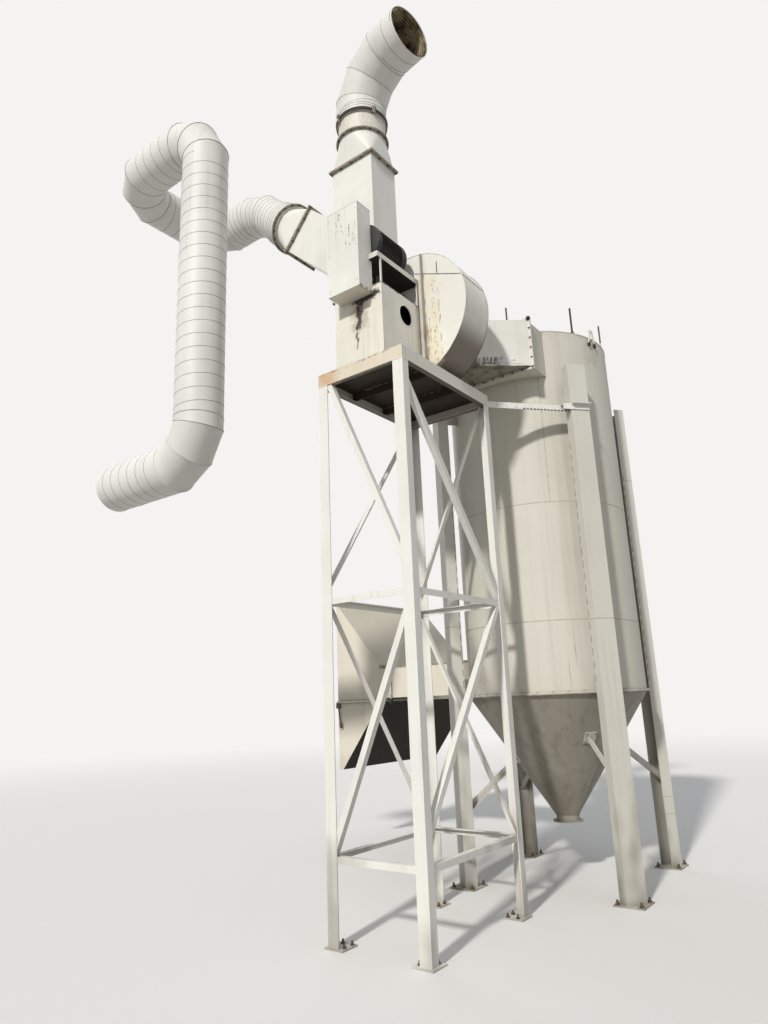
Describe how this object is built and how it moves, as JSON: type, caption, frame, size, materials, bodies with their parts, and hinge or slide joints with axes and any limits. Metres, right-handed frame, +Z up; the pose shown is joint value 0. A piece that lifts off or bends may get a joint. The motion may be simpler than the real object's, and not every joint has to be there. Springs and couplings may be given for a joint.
{
  "type": "cyclone separator",
  "caption": "Outdoor cyclone separator plant: conical-bottom vessel on legs, lattice tower with belt-driven fan, discharge stack and looping spiral return duct.",
  "frame": {"origin": "centre of the bounding box at floor level", "axes": "+X along the wall from the tower to the vessel, +Y towards the wall, +Z up"},
  "size_m": [5.633, 4.2995, 8.6497],
  "materials": {
    "tower_paint": "weathered off-white paint with rust stains",
    "fan_paint": "weathered off-white paint with streaks",
    "duct_paint": "satin off-white paint on spiral duct",
    "vessel_paint": "matt warm grey paint with rain streaks",
    "cone_paint": "matt dark grey paint, dusty",
    "motor_black": "black paint, greasy"
  },
  "bodies": {
    "root": {"leg_front": "tower_paint", "leg_right": "tower_paint", "leg_left": "tower_paint", "leg_back": "tower_paint", "platform_frame": "tower_paint", "platform_deck": "tower_paint", "tower_rings": "tower_paint", "braces_left": "tower_paint", "braces_front": "tower_paint", "braces_right": "tower_paint", "braces_back": "tower_paint", "platform_strut": "tower_paint", "fan_pedestal": "fan_paint", "motor_table": "fan_paint", "motor": "motor_black", "fan_shaft": "motor_black", "belt_guard": "fan_paint", "fan_casing": "fan_paint", "fan_inlet_box": "fan_paint", "discharge_duct": "fan_paint", "branch_duct": "fan_paint", "stack_transition": "fan_paint", "stack_collar": "fan_paint", "stack_elbow": "duct_paint", "branch_transition": "fan_paint", "return_riser": "duct_paint", "return_cross": "duct_paint", "return_front": "duct_paint", "return_turn": "duct_paint", "return_drop": "duct_paint", "return_wall": "duct_paint", "vessel_shell": "vessel_paint", "vessel_roof": "vessel_paint", "vessel_cone": "cone_paint", "dust_outlet": "cone_paint", "vessel_leg_a": "vessel_paint", "vessel_leg_b": "vessel_paint", "vessel_leg_c": "vessel_paint", "vessel_leg_d": "vessel_paint", "vessel_box": "vessel_paint", "intake_link": "vessel_paint", "intake_hood": "vessel_paint", "intake_hopper": "cone_paint"}
  },
  "joints": []
}
